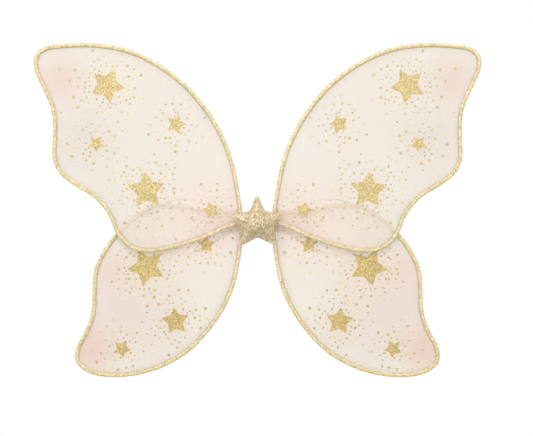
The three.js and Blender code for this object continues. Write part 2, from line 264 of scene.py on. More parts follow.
def is_within(points, edge):
    """Whether each point lies inside a closed edge."""
    inside = np.zeros(len(points), bool)
    x, z = points[:, 0], points[:, 1]
    for (ax, az), (bx, bz) in zip(np.roll(edge, 1, axis=0), edge):
        if az == bz:
            continue
        crosses = (az > z) != (bz > z)
        inside ^= crosses & (x < ax + (z - az) * (bx - ax) / (bz - az))
    return inside


def wire_line(node):
    """(the wire's centre line as x and z, its plane's y). One corner of the wire's
    section faces the front, so its front-most vertices trace the centre line."""
    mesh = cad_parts[node].data
    points = np.array([v.co for v in mesh.vertices]) / MM
    front = points[:, 1].min()
    is_front = points[:, 1] < front + 0.01
    places = [tuple(p) for p in np.round(points[:, [0, 2]], 2)]
    neighbours = {}
    for edge in mesh.edges:
        a, b = edge.vertices
        if is_front[a] and is_front[b] and places[a] != places[b]:
            neighbours.setdefault(places[a], set()).add(places[b])
            neighbours.setdefault(places[b], set()).add(places[a])
    ends = sorted((z, x) for (x, z), near in neighbours.items() if len(near) == 1)
    line = [(ends[0][1], ends[0][0])]
    seen = set(line)
    while True:
        onward = [p for p in neighbours[line[-1]] if p not in seen]
        if not onward:
            return np.array(line), front + WIRE_R
        line.append(onward[0])
        seen.add(onward[0])


def swept(line, plane_y, sections):
    """Rings of a section along a line in the wing's plane: a section's point is how
    far it lies behind the plane and how far outside the loop."""
    rings = []
    for point, out, section in zip(line, outward_of(line), sections):
        across = point + section[:, 1:2] * out
        rings.append(upright(across, plane_y + section[:, 0]))
    return np.array(rings)


def circle(radius, count, start=0.0, end=2 * math.pi, endpoint=False):
    angles = np.linspace(start, end, count, endpoint=endpoint)
    return radius * np.stack([np.cos(angles), np.sin(angles)], axis=1)


# ---- Materials -------------------------------------------------------------------

WEAVE_PITCH = 0.42  # of the sheer fabric's threads
EDGE_TINT_REACH = 10.0  # of the darker tint along the fabric's edge
MOTTLE_SIZE = 2.6  # of the places where glitter lies thicker
DUST_SHARE = 0.37  # of a flake's size
TAPE_FLAKE = 0.62
STAR_FLAKE = 0.9

# Airbrushed spots, one of them partly painted shade: x, z, radius, strength and tint.
UPPER_SPOTS = [
    (195, 95, 65, 0.6, (193, 179, 168)),
    (50, 62, 62, 0.5, (211, 203, 194)),
    (219, 160, 44, 0.55, (198, 162, 142)),
    (46, 6, 92, 0.42, (213, 178, 161)),
    (88, -18, 62, 0.7, (213, 200, 193)),
]
LOWER_SPOTS = [
    (150, -95, 110, 0.9, (200, 182, 171)),
    (95, -130, 60, 0.4, (200, 182, 171)),
    (186, -142, 42, 0.7, (200, 160, 140)),
    # A warm airbrushed haze round the big lower star, and below the upper wing's trim painted
    # shade.
    (110, -44, 58, 0.4, (205, 182, 164)),
    (159, -53, 36, 0.3, (204, 164, 138)),
    (46, 0, 100, 0.4, (214, 178, 166)),
]
# Soft spots over glitter: x, z, radius, strength and what each channel is multiplied by.
PALER_NEAR_THE_STAR = (16, -12, 80, 1.0, (1.1, 1.03, 1.25, 1))
# The star's glitter is tinted darker round its middle: painted shade, for light that falls more
# on its top than on its front.
PAINTED_SHADE_IN_THE_MIDDLE = (0, -4, 30, 1.0, (0.87, 0.86, 0.83, 1))


def colour(red, green, blue):
    """A display colour as the linear one that a shader takes."""
    return tuple(((c / 255 + 0.055) / 1.055) ** 2.4 for c in (red, green, blue)) + (1.0,)


class Shading:
    """A material's nodes. Each call adds a node; an input given a socket is linked."""

    def __init__(self, name):
        self.material = bpy.data.materials.new(name)
        self.material.use_nodes = True
        self.tree = self.material.node_tree
        self.tree.nodes.clear()

    def node(self, kind, sockets=None, **settings):
        made = self.tree.nodes.new("ShaderNode" + kind)
        for key, value in settings.items():
            setattr(made, key, value)
        for key, value in (sockets or {}).items():
            if isinstance(value, bpy.types.NodeSocket):
                self.tree.links.new(value, made.inputs[key])
            else:
                made.inputs[key].default_value = value
        return made

    def place(self):
        return self.node("TexCoord").outputs["Object"]

    def attribute(self, name):
        return self.node("Attribute", attribute_name=name).outputs["Fac"]

    def maths(self, operation, a, b=0.0):
        return self.node("Math", {0: a, 1: b}, operation=operation).outputs[0]

    def weighted(self, a, a_share, b, b_share):
        return self.maths(
            "ADD", self.maths("MULTIPLY", a, a_share), self.maths("MULTIPLY", b, b_share)
        )

    def axes(self):
        return self.node("SeparateXYZ", {"Vector": self.place()}).outputs

    def channel(self, tint, name):
        return self.node("SeparateColor", {"Color": tint}).outputs[name]

    def wave(self, value, pitch_mm):
        """A sine of unit height that repeats every pitch_mm."""
        turns = self.maths("MULTIPLY", value, 2 * math.pi / (pitch_mm * MM))
        return self.maths("SINE", turns)

    def noise(self, size_mm, detail=3.0, vector=None):
        sockets = {"Vector": vector or self.place(), "Scale": 1 / (size_mm * MM)}
        return self.node("TexNoise", {**sockets, "Detail": detail}).outputs["Fac"]

    def flakes(self, size_mm):
        """A random colour for each flake of that size."""
        sockets = {"Vector": self.place(), "Scale": 1 / (size_mm * MM)}
        return self.node("TexVoronoi", sockets).outputs["Color"]

    def ramp(self, value, stops):
        made = self.node("ValToRGB", {"Fac": value})
        elements = made.color_ramp.elements
        while len(elements) < len(stops):
            elements.new(0.5)
        for element, (position, tint) in zip(elements, stops):
            element.position = position
            element.color = tint
        return made.outputs["Color"]

    def blend(self, share, a, b, mode="MIX"):
        made = self.node("Mix", {0: share, 6: a, 7: b}, data_type="RGBA", blend_type=mode)
        return made.outputs[2]

    def bump(self, height, distance_mm, strength=1.0, normal=None):
        sockets = {"Height": height, "Distance": distance_mm * MM, "Strength": strength}
        if normal:
            sockets["Normal"] = normal
        return self.node("Bump", sockets).outputs["Normal"]

    def finish(self, **sockets):
        named = {key.replace("_", " "): value for key, value in sockets.items()}
        surface = self.node("BsdfPrincipled", named)
        self.node("OutputMaterial", {"Surface": surface.outputs["BSDF"]})
        return self.material


def glitter(name, shades, flake_mm, metallic, tilt, mottle=0.1, spot=None):
    """Flakes of one size, each with its own shade and slant, over a finer dust, and
    lying thicker in some places than in others. The lighter flake shades are partly
    the flakes' own tone and partly painted glints of flakes catching the light. spot
    is a soft spot of another tint: its x, z, radius, strength and tint. On the star
    it is a spot of painted shade."""
    dark, middle, light = (colour(*shade) for shade in shades)
    s = Shading(name)
    flake = s.flakes(flake_mm)
    shade = s.channel(flake, "Red")
    dust = s.channel(s.flakes(flake_mm * DUST_SHARE), "Green")
    mixed = s.weighted(shade, 0.68, dust, 0.32)
    # From dark to light; the light end is partly painted glint.
    tint = s.ramp(mixed, [(0.12, dark), (0.5, middle), (0.88, light)])
    thin, thick = ((level, level, level, 1) for level in (1 - mottle, 1 + mottle))
    patchy = s.ramp(s.noise(MOTTLE_SIZE, 2.0), [(0.36, thin), (0.64, thick)])
    tint = s.blend(1.0, tint, patchy, "MULTIPLY")
    if spot:
        x, z, radius, strength, spot_tint = spot
        share = s.maths("MULTIPLY", soft_spot(s, x, z, radius), strength)
        tint = s.blend(share, tint, s.blend(1.0, tint, spot_tint, "MULTIPLY"))
    slant = s.node("VectorMath", {0: flake, 1: (0.5, 0.5, 0.5)}, operation="SUBTRACT")
    slanted = s.node("VectorMath", {0: slant.outputs[0], "Scale": tilt}, operation="SCALE")
    plain = s.node("NewGeometry").outputs["Normal"]
    turned = s.node("VectorMath", {0: plain, 1: slanted.outputs[0]}, operation="ADD")
    normal = s.node("VectorMath", {0: turned.outputs[0]}, operation="NORMALIZE").outputs[0]
    return s.finish(
        Base_Color=tint,
        Metallic=metallic,
        Roughness=0.38,
        Normal=s.bump(shade, 0.12, 0.5, normal),
    )


def soft_spot(s, x, z, radius):
    """1 in the middle of a round airbrushed spot, to 0 at its edge, on either side."""
    axes = s.axes()
    across = s.maths("SUBTRACT", s.maths("ABSOLUTE", axes["X"]), x * MM)
    up = s.maths("SUBTRACT", axes["Z"], z * MM)
    away = s.maths("SQRT", s.weighted(across, across, up, up))
    sockets = {"Value": away, "From Min": radius * MM, "From Max": 0.0}
    return s.node("MapRange", sockets, interpolation_type="SMOOTHSTEP").outputs["Result"]


def sheer_fabric(name, cover, base, edge, spots):
    """Sheer woven fabric that hides a share of what is behind it, airbrushed in soft
    spots, one of which, on the lower wing, is partly painted shade."""
    s = Shading(name)
    base = colour(*base)
    deeper = tuple(c * k for c, k in zip(base, (0.985, 0.99, 0.975, 1)))
    cloudy = s.ramp(s.noise(60, 2.0), [(0.35, (0, 0, 0, 1)), (0.7, (1, 1, 1, 1))])
    tint = s.blend(cloudy, base, deeper)
    away = {
        "Value": s.attribute("edge_distance"),
        "From Min": EDGE_TINT_REACH * MM,
        "From Max": 0.0,
    }
    near_edge = s.node("MapRange", away, interpolation_type="SMOOTHSTEP").outputs["Result"]
    tint = s.blend(near_edge, tint, colour(*edge))
    for x, z, radius, strength, spot_tint in spots:
        share = s.maths("MULTIPLY", soft_spot(s, x, z, radius), strength)
        tint = s.blend(share, tint, colour(*spot_tint))
    axes = s.axes()
    warp = s.wave(axes["X"], WEAVE_PITCH)
    weft = s.wave(axes["Z"], WEAVE_PITCH)
    return s.finish(
        Base_Color=tint,
        Roughness=0.62,
        Sheen_Weight=0.2,
        Sheen_Roughness=0.4,
        Alpha=cover,
        Normal=s.bump(s.maths("MULTIPLY", warp, weft), 0.03, 0.35),
    )


def stuck_flakes():
    """The larger flakes that are stuck on the star, each of one shade."""
    s = Shading("loose_flakes")
    shade = s.channel(s.flakes(1.6), "Blue")
    tint = s.ramp(shade, [(0.1, colour(176, 160, 118)), (0.9, colour(255, 246, 216))])
    return s.finish(Base_Color=tint, Metallic=0.75, Roughness=0.22)


def thread(name, tint):
    s = Shading(name)
    twist = s.bump(s.noise(0.35, 1.0), 0.05, 0.5)
    return s.finish(Base_Color=tint, Roughness=0.55, Sheen_Weight=0.3, Normal=twist)


def metal(name, tint, roughness):
    s = Shading(name)
    worn = s.maths("ADD", s.maths("MULTIPLY", s.noise(1.2), 0.15), roughness)
    grain = s.bump(s.noise(0.4), 0.01, 0.3)
    return s.finish(Base_Color=tint, Metallic=1.0, Roughness=worn, Normal=grain)


def satin_ribbon():
    """Satin weave: fine ribs along the ribbon and a soft sheen."""
    s = Shading("satin_ribbon")
    ribs = s.wave(s.axes()["Z"], 0.3)
    tint = s.ramp(s.noise(3, 2.0), [(0.3, colour(214, 186, 160)), (0.7, colour(228, 202, 178))])
    return s.finish(Base_Color=tint, Roughness=0.36, Sheen_Weight=0.4, Anisotropic=0.5,
                    Normal=s.bump(ribs, 0.03, 0.5))


def felt():
    """Pressed wool: a fuzzy, mottled surface."""
    s = Shading("felt")
    fibres = s.noise(0.5, 6.0)
    shades = [(0.3, colour(206, 192, 172)), (0.7, colour(222, 210, 192))]
    mottled = s.ramp(s.noise(1.6, 4.0), shades)
    return s.finish(Base_Color=mottled, Roughness=0.95, Sheen_Weight=0.6, Sheen_Roughness=0.7,
                    Normal=s.bump(fibres, 0.18, 0.7))


def woven_elastic():
    """Flat elastic: ribs along it, crossed by the finer weft that grips the rubber."""
    s = Shading("woven_elastic")
    weft = s.wave(s.attribute("along"), 0.9)
    cross = s.wave(s.attribute("around"), 0.45)
    weave = s.weighted(weft, 0.6, cross, 0.4)
    # The tint follows the weave's height, darker in its hollows: painted shade.
    tint = s.ramp(s.maths("ADD", s.maths("MULTIPLY", weave, 0.25), 0.5),
                  [(0.2, colour(205, 193, 172)), (0.8, colour(224, 213, 195))])
    return s.finish(Base_Color=tint, Roughness=0.75, Sheen_Weight=0.3,
                    Normal=s.bump(weave, 0.08, 0.7))


def polyester_filling():
    s = Shading("polyester_filling")
    return s.finish(Base_Color=colour(226, 226, 226), Roughness=0.95, Sheen_Weight=0.8,
                    Normal=s.bump(s.noise(1.5, 6.0), 0.5, 0.8))


def matt_floor():
    s = Shading("matt_floor")
    return s.finish(Base_Color=colour(196, 194, 190), Roughness=0.85)


# Glitter takes its shades from dark to light, its flakes' size, and how metallic,
# how slanted and how mottled it is. Its lighter shades are partly painted glint.
MATERIALS = {
    "upper": sheer_fabric(
        "upper_sheer_fabric", 0.5, (204, 193, 182), (198, 187, 172), UPPER_SPOTS
    ),
    "lower": sheer_fabric(
        "lower_sheer_fabric", 0.56, (208, 201, 189), (199, 190, 172), LOWER_SPOTS
    ),
    "tape": glitter(
        "tape_glitter", ((168, 151, 106), (207, 190, 146), (238, 225, 186)),
        TAPE_FLAKE, 0.15, 0.45, 0.14, PALER_NEAR_THE_STAR,
    ),
    "upper_print": glitter(
        "upper_print", ((152, 135, 85), (190, 170, 115), (226, 207, 150)),
        TAPE_FLAKE, 0.15, 0.4, 0.15,
    ),
    "lower_print": glitter(
        "lower_print", ((144, 124, 72), (184, 161, 103), (220, 199, 138)),
        TAPE_FLAKE, 0.15, 0.4, 0.15,
    ),
    "pale_print": glitter(
        "pale_print", ((186, 172, 128), (206, 194, 154), (230, 218, 184)),
        TAPE_FLAKE, 0.1, 0.3,
    ),
    "star": glitter(
        "star_glitter", ((142, 124, 92), (189, 171, 135), (233, 216, 183)),
        STAR_FLAKE, 0.15, 0.45, 0.1, PAINTED_SHADE_IN_THE_MIDDLE,
    ),
    "flake": stuck_flakes(),
    "gold_thread": thread("gold_thread", colour(196, 172, 112)),
    "cream_thread": thread("cream_thread", colour(214, 200, 176)),
    "steel": metal("spring_steel", colour(186, 186, 190), 0.3),
    "nickel": metal("nickel_plate", colour(176, 174, 170), 0.35),
    "ribbon": satin_ribbon(),
    "felt": felt(),
    "elastic": woven_elastic(),
    "filling": polyester_filling(),
    "floor": matt_floor(),
}


# ---- Stitches --------------------------------------------------------------------


# A stitch's rings: the share of its length, then height off the cloth and thickness
# as shares of the thread's radius.
STITCH_RINGS = (
    (0, -0.6, 0.5), (0.12, 0.35, 0.95), (0.5, 0.75, 1), (0.88, 0.35, 0.95), (1, -0.6, 0.5),
)
THREAD_SIDES = 6
ROW_POINTS = 12


def stitch(start, end, lift, radius):
    """(vertices, faces) of a thread that rises out of the cloth and dives back in.
    lift is the direction off the cloth."""
    start, end, lift = (np.asarray(v, float) for v in (start, end, lift))
    along = (end - start) / np.linalg.norm(end - start)
    aside = np.cross(along, lift)
    rings = []
    for share, height, size in STITCH_RINGS:
        middle = start + (end - start) * share + lift * height * radius
        around = circle(radius * size, THREAD_SIDES)
        rings.append(middle + around[:, :1] * aside + around[:, 1:] * lift)
    return loft(rings)


def running_stitches(line, lifts, length, pitch, radius):
    """Stitches laid end to end along a line of points, each with its lift."""
    at = lengths_along(line)
    parts = []
    for first in np.arange(pitch / 2, at[-1] - length, pitch):
        ends = [[np.interp(d, at, axis) for axis in line.T] for d in (first, first + length)]
        middle = int(np.searchsorted(at, first + length / 2))
        parts.append(stitch(ends[0], ends[1], lifts[min(middle, len(lifts) - 1)], radius))
    return parts


def stitched_row(start, height, facing, length, pitch, radius):
    """Stitches up a short line, on the face that looks along +Y or -Y."""
    line = start + np.outer(np.linspace(0, height, ROW_POINTS), [0, 0, 1])
    return running_stitches(line, [[0, facing, 0]] * ROW_POINTS, length, pitch, radius)


# ---- Wings -----------------------------------------------------------------------

RIPPLE_CALMED = 12.0  # the slow ripples die out over this far from the edge
PUCKER_PINNED = 3.0  # and the puckers over this far
CLEAR_OF_EDGE = 0.55  # inner points keep off an edge by this share of the mesh's step


class WingPlan:
    """What a wing's pieces share: its wire's line, its fabric's edge and its ripples."""

    def __init__(self, place):
        self.place = place
        raw, self.plane_y = wire_line(f"wire_{place}_right")
        self.wire = smooth_line(raw, 1.0)
        self.wire[:, 0] = np.maximum(self.wire[:, 0], ROOT_X)
        edge = self.wire - outward_of(self.wire) * FABRIC_EDGE_INSET
        edge = edge[self.wire[:, 0] > ROOT_X + 1.2]
        edge[:, 0] = np.maximum(edge[:, 0], FABRIC_NEAREST_X)
        self.edge = smooth_line(edge, FABRIC_STEP)
        self.edge_at = lengths_along(self.edge)

    def distances(self, points):
        """(distance to the fabric's edge, distance along it) of each point."""
        gaps = gaps_between(points, self.edge)
        return gaps.min(axis=1), self.edge_at[gaps.argmin(axis=1)]

    def ripple(self, points):
        """How far the stretched fabric lies in front of its plane."""
        away, along = self.distances(points)
        x, z = points[:, 0], points[:, 1]
        slow = np.sin(x / 17 + z / 31) * np.sin(z / 22 - x / 47)
        calm = np.clip(away / RIPPLE_CALMED, 0, 1)
        pucker = np.sin(2 * math.pi * along / PUCKER_PITCH) * np.exp(-away / PUCKER_REACH)
        pinned = np.clip(away / PUCKER_PINNED, 0, 1)
        return RIPPLE * slow * calm + PUCKER * pucker * pinned

    def is_inside(self, points, margin):
        """Whether each point lies inside the fabric's edge, at least margin from it."""
        return is_within(points, self.edge) & (self.distances(points)[0] > margin)


def wing_piece(kind, plan, side, vertices, faces, material, smooth=True):
    """A piece of a right-hand wing, or its mirror image, on that wing's body."""
    place = f"{plan.place}_{side}"
    return add_piece(
        f"{kind}_{place}", mirrored(vertices, side), faces, material, f"wing_{place}", smooth
    )


def lattice(low, high, step):
    """Staggered rows of points over a rectangle."""
    rows = []
    for i, z in enumerate(np.arange(low[1], high[1], step * math.sqrt(3) / 2)):
        x = np.arange(low[0] + (i % 2) * step / 2, high[0], step)
        rows.append(np.stack([x, np.full_like(x, z)], axis=1))
    return np.concatenate(rows)


def triangulated(edge, inner):
    """(points, triangles) over a closed edge, with these points inside it."""
    points = [Vector(p) for p in np.concatenate([edge, inner])]
    rim = [(i, (i + 1) % len(edge)) for i in range(len(edge))]
    made = delaunay_2d_cdt(points, rim, [list(range(len(edge)))], 1, 1e-4)
    return np.array([tuple(p) for p in made[0]]), [tuple(face) for face in made[2]]


def rim_of(faces):
    """Directed edges that only one face uses."""
    seen = set()
    for face in faces:
        for a, b in zip(face, face[1:] + face[:1]):
            seen.add((a, b))
    return [(a, b) for a, b in seen if (b, a) not in seen]


def chain_of(edges):
    """The points of a closed rim in the order in which its edges follow each other."""
    follows = dict(edges)
    chain = [min(follows)]
    while follows[chain[-1]] != chain[0]:
        chain.append(follows[chain[-1]])
    return chain


def thickened(front, back, faces):
    """A closed thin solid between two copies of one triangulated surface."""
    count = len(front)
    solid = [tuple(face) for face in faces]
    solid += [tuple(count + i for i in reversed(face)) for face in faces]
    solid += [(b, a, count + a, count + b) for a, b in rim_of(faces)]
    return np.concatenate([front, back]), solid


def membrane(plan, side):
    """The sheer fabric panel, drawn tight over the wire but rippled a little."""
    grid = lattice(plan.edge.min(axis=0), plan.edge.max(axis=0), FABRIC_STEP)
    inner = grid[plan.is_inside(grid, FABRIC_STEP * CLEAR_OF_EDGE)]
    points, faces = triangulated(plan.edge, inner)
    away = plan.distances(points)[0]
    in_front = plan.ripple(points)
    sheets = []
    for thickness_side in (-1, 1):
        y = plan.plane_y - in_front + thickness_side * FABRIC_THICKNESS / 2
        sheets.append(upright(points, y))
    piece = wing_piece("fabric", plan, side, *thickened(*sheets, faces), plan.place)
    distance = piece.data.attributes.new("edge_distance", "FLOAT", "POINT")
    distance.data.foreach_set("value", np.tile(away, 2).astype(np.float32) * MM)
    piece.visible_shadow = False  # sheer fabric lets the light through to what is behind
    piece.visible_diffuse = False
    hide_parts(f"membrane_{plan.place}_{side}")
    return piece


def star_corners(radius, first_tip, notch_shares):
    """Tips and notches by turns, anticlockwise from the first tip."""
    corners = []
    for k in range(10):
        angle = first_tip + k * math.pi / 5
        r = radius * (1 if k % 2 == 0 else notch_shares[k // 2])
        corners.append((r * math.cos(angle), r * math.sin(angle)))
    return np.array(corners)


TIP_SOFTNESS = 0.09  # of a printed star's corners, as shares of its sides
NOTCH_SOFTNESS = 0.05
# A print's rings: the share of its outline, and the share of its height.
STAR_RINGS = ((1.0, -0.4), (0.985, 0.7), (0.95, 1.0), (0.66, 1.0), (0.33, 1.0))
DOT_RINGS = ((1.0, -0.4), (0.86, 0.65), (0.45, 1.0))
DOT_SIDES = 9


def printed_star(x, z, radius, tip_direction):
    """(rings of x and z, height share) of a printed star with softened corners."""
    tip = math.radians(tip_direction)
    corners = star_corners(radius * PRINT_SPREAD, tip, [PRINT_NOTCH_SHARE] * 5)
    outline = []
    for k in range(10):
        before, here, after = corners[k - 1], corners[k], corners[(k + 1) % 10]
        softness = TIP_SOFTNESS if k % 2 == 0 else NOTCH_SOFTNESS
        outline.append(here + (before - here) * softness)
        outline.append(here + ((before + after) / 2 - here) * softness * 0.45)
        outline.append(here + (after - here) * softness)
        outline.append(here + (after - here) * 0.5)
    outline, centre = np.array(outline), np.array([x, z])
    return [(centre + outline * share, height) for share, height in STAR_RINGS]


def printed_dot(x, z, radius):
    outline, centre = circle(radius, DOT_SIDES), np.array([x, z])
    return [(centre + outline * share, height) for share, height in DOT_RINGS]


def print_solid(plan, rings):
    """(vertices, faces) of a printed shape that follows the fabric's ripples."""
    surfaces = []
    for ring, height in rings:
        y = plan.plane_y - FABRIC_THICKNESS / 2 - plan.ripple(ring) - height * PRINT_HEIGHT
        surfaces.append(upright(ring, y))
    return loft(surfaces)


DOT_CROWDING = 1.3  # over 1, dots crowd towards the star and towards the small sizes
SPARSE_DOT_TRIES = 900
DOT_CLEAR_OF_EDGE = 4.5


def halo_dots(plan, stars, rng):
    """Dots as (x, z, radius): thick round each star and sparse between them."""
    dots = []

    def is_free(place, spacing, radius):
        for dot in dots:
            if math.dist(dot[:2], place) < max(spacing, dot[2] + radius + 1):
                return False
        for star in stars:
            if math.dist(star[:2], place) < star_reach(star, place) + 1.4 + radius:
                return False
        return True

    def star_reach(star, place):
        """The star's radius in the direction of a place."""
        x, z, radius, tip = star
        turn = (math.degrees(math.atan2(place[1] - z, place[0] - x)) - tip) % 72
        off = math.radians(min(turn, 72 - turn))
        notch = PRINT_NOTCH_SHARE
        rise = notch * math.sin(math.radians(36))
        run = 1 - notch * math.cos(math.radians(36))
        return radius * rise / (rise * math.cos(off) + run * math.sin(off))

    for star in stars:
        x, z, radius, _ = star
        for start, end, spacing, smallest, largest in HALO_BANDS:
            area = math.pi * ((radius + end) ** 2 - (radius + start) ** 2)
            for _ in range(int(area / spacing**2 * 3)):
                away = radius + start + (end - start) * rng.random() ** DOT_CROWDING
                angle = rng.random() * 2 * math.pi
                place = (x + away * math.cos(angle), z + away * math.sin(angle))
                size = smallest + (largest - smallest) * rng.random() ** DOT_CROWDING
                if is_free(place, spacing * (0.75 + 0.5 * rng.random()), size):
                    dots.append((*place, size))
    low, high = plan.edge.min(axis=0), plan.edge.max(axis=0)
    for _ in range(SPARSE_DOT_TRIES):
        place = tuple(low + (high - low) * rng.random(2))
        size = SPARSE_DOT_R[0] + (SPARSE_DOT_R[1] - SPARSE_DOT_R[0]) * rng.random()
        if is_free(place, SPARSE_DOT_SPACING * (0.7 + 0.6 * rng.random()), size):
            dots.append((*place, size))
    inside = plan.is_inside(np.array([d[:2] for d in dots]), DOT_CLEAR_OF_EDGE)
    return [d for d, keep in zip(dots, inside) if keep]


def prints(plan, side, stars, dots):
    """The glitter print on the front of a wing's fabric, as one piece."""
    shapes = [printed_star(*star) for star in stars] + [printed_dot(*dot) for dot in dots]
    solids = [print_solid(plan, rings) for rings in shapes]
    piece = wing_piece("print", plan, side, *joined(solids), f"{plan.place}_print", False)
    piece.data.materials.append(MATERIALS["pale_print"])
    pale = [int(i >= len(stars) and i % 5 < 5 * PALE_DOT_SHARE) for i in range(len(shapes))]
    per_face = np.repeat(pale, [len(faces) for _, faces in solids])
    piece.data.polygons.foreach_set("material_index", per_face)
    return piece


TAPE_OUTER_POINTS = 20
TAPE_INNER_POINTS = 8


def tape_section(distance):
    """The folded tape round the wire, open on the side of the fabric, at a distance
    along it. The points are how far each lies behind the wing's plane and how far
    outside the loop. The coat of glitter swells and thins along the tape."""
    lip = math.asin(TAPE_SLIT / 2 / TAPE_HALF_DEPTH)
    inner_lip = math.asin(TAPE_SLIT / 2 / TAPE_CAVITY_R)
    down, turn = -math.pi / 2, 2 * math.pi
    outer = circle(1, TAPE_OUTER_POINTS, down + lip, down - lip + turn, endpoint=True)
    angles = np.linspace(0, turn, TAPE_OUTER_POINTS)
    phase = turn / TAPE_RELIEF_PITCH * distance
    beads = TAPE_RELIEF * math.sin(phase + 0.8 * math.sin(distance / 9))
    swell = beads * np.cos(angles / 2 - math.pi / 2) ** 2
    swell = swell + 0.5 * TAPE_RELIEF * np.sin(2 * angles + phase * 0.6) - TAPE_RELIEF
    outer = outer * ([TAPE_HALF_DEPTH, TAPE_HALF_WIDTH] + swell[:, None])
    inner = circle(
        TAPE_CAVITY_R, TAPE_INNER_POINTS, down - inner_lip + turn, down + inner_lip, endpoint=True
    )
    return np.concatenate([outer, inner])


def tape_line(plan):
    """The stretch of the wire that the tape covers, clear of the ribbon band."""
    x, z = plan.wire[:, 0], plan.wire[:, 1]
    at_root = (x < ROOT_X + 1.5) & (z > BAND_BOTTOM_Z - 0.8) & (z < BAND_TOP_Z + 0.4)
    return smooth_line(plan.wire[~at_root], TAPE_STEP)


def tape(plan, side):
    """The glitter tape folded over the wire and the fabric's edge."""
    line = tape_line(plan)
    rings = swept(line, plan.plane_y, [tape_section(d) for d in lengths_along(line)])
    piece = wing_piece("tape", plan, side, *loft(rings), "tape")
    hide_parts(f"binding_{plan.place}_{side}")
    return piece


def tape_stitches(plan, side):
    """The seam through the tape's two inner edges, seen on the front and the back."""
    line = tape_line(plan)
    inward = -outward_of(line)
    seam = line + inward * STITCH_LINE
    depth = TAPE_HALF_DEPTH * math.sqrt(1 - (STITCH_LINE / TAPE_HALF_WIDTH) ** 2)
    parts = []
    for facing in (-1, 1):
        points = upright(seam, plan.plane_y + facing * depth)
        lift = upright(0.5 * inward, facing * 0.87)
        parts += running_stitches(points, lift, STITCH_LENGTH, STITCH_PITCH, STITCH_R)
    return wing_piece("tape_seam", plan, side, *joined(parts), "gold_thread")


def wire(plan, side):
    rings = swept(plan.wire, plan.plane_y, [circle(WIRE_R, 12)] * len(plan.wire))
    piece = wing_piece("round_wire", plan, side, *loft(rings), "steel")
    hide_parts(f"wire_{plan.place}_{side}")
    return piece


def ferrule(plan, side):
    """A short tube over the wire's two ends, pinched in two places by the crimping."""
    node = f"ferrule_{plan.place}_{side}"
    low, high = box_of(node)
    centre = (low + high) / 2
    outer_r = (high[0] - low[0]) / 2
    inner_r = WIRE_R + 0.1
    heights = np.linspace(low[2], high[2], 23)
    pinches = (np.exp(-(((heights - centre[2] - off) / 0.55) ** 2)) for off in (-1.4, 1.4))
    pinch = 0.14 * sum(pinches)
    profile = [(outer_r - p, z) for p, z in zip(pinch, heights)]
    profile += [(inner_r, heights[-1]), (inner_r, heights[0])]
    rings = []
    for angle in np.linspace(0, 2 * math.pi, 28, endpoint=False):
        cos, sin = math.cos(angle), math.sin(angle)
        rings.append([(centre[0] + r * cos, centre[1] + r * sin, z) for r, z in profile])
    body = f"wing_{plan.place}_{side}"
    piece = add_piece(f"crimped_{node}", *loft(rings, closed=True), "nickel", body)
    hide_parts(node)


def build_wing(place, stars):
    plan = WingPlan(place)
    dots = halo_dots(plan, stars, np.random.default_rng(SEED + len(stars)))
    for side in ("left", "right"):
        cloth = membrane(plan, side)
        on_it = [
            prints(plan, side, stars, dots), tape(plan, side), tape_stitches(plan, side),
        ]
        frame_wire = wire(plan, side)
        ferrule(plan, side)


# ---- Padded star -----------------------------------------------------------------


TIP_EASE = 0.13  # of the padded star's corners, as shares of its sides
NOTCH_EASE = 0.06


def star_outline(radius, spacing):
    """The star's sewn edge, evenly spaced, with blunt tips and eased notches."""
    corners = star_corners(radius, math.pi / 2 + STAR_TILT, STAR_NOTCH_SHARES)
    outline = []
    for k in range(10):
        before, here, after = corners[k - 1], corners[k], corners[(k + 1) % 10]
        ease = TIP_EASE if k % 2 == 0 else NOTCH_EASE
        for share in (0.5, ease * 1.6, ease):
            outline.append(here + (before - here) * share)
        outline.append(here + ((before + after) / 2 - here) * ease * 0.5)
        for share in (ease, ease * 1.6):
            outline.append(here + (after - here) * share)
    line = smooth_line(np.array(outline), spacing, closed=True)
    return line * radius / np.linalg.norm(line, axis=1).max()


def pillow():
    """(points, front faces, back faces) of two star-shaped cloths sewn together at
    their edge, lying nearly flat."""
    edge = star_outline(STAR_RADIUS, STAR_STEP)
    grid = lattice(edge.min(axis=0), edge.max(axis=0), STAR_STEP)
    gaps = gaps_between(grid, edge).min(axis=1)
    inner = grid[is_within(grid, edge) & (gaps > STAR_STEP * CLEAR_OF_EDGE)]
    points, faces = triangulated(edge, inner)
    on_edge = np.zeros(len(points), bool)
    on_edge[[a for a, _ in rim_of(faces)]] = True
    dome = np.where(on_edge, 0, 0.15 * np.sqrt(gaps_between(points, edge).min(axis=1)))
    front = upright(points, -dome)
    inner = np.flatnonzero(~on_edge)
    back = front[inner] * [1, -1, 1]
    twin = np.arange(len(points))
    twin[inner] = len(points) + np.arange(len(inner))
    back_faces = [tuple(int(twin[i]) for i in reversed(face)) for face in faces]
    return np.concatenate([front, back]), faces, back_faces


SIMULATED_SCALE = 10.0  # the cloth is simulated larger, where the solver behaves best
INFLATE_FRAMES = 20
INFLATE_PRESSURE = 5.0


